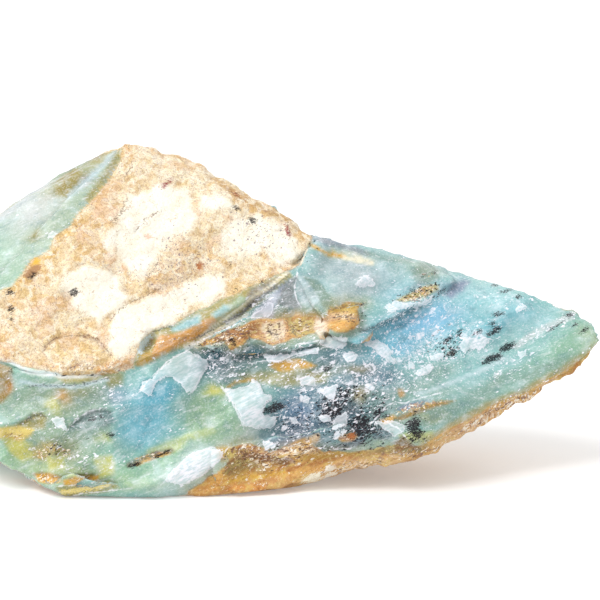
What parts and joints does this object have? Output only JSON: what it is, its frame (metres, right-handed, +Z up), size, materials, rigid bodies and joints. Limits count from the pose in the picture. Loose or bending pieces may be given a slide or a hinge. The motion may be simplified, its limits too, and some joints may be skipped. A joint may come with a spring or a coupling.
{
  "type": "rough opal stone",
  "caption": "Broken piece of pale blue-green opal with a tan host-rock face, iron-stained ledges and a thin tip, lying on a flat facet.",
  "frame": {"origin": "the middle of the stone's box in plan, on the surface that it lies on", "axes": "+X along the length to the thin tip, +Z up from the resting facet, -Y out of the face with the host rock"},
  "size_m": [0.0876, 0.0366, 0.039],
  "materials": {
    "opal": "waxy translucent opal, with dull grainy host rock and rusty crust on it"
  },
  "bodies": {
    "root": {"opal_stone": "opal"}
  },
  "joints": []
}
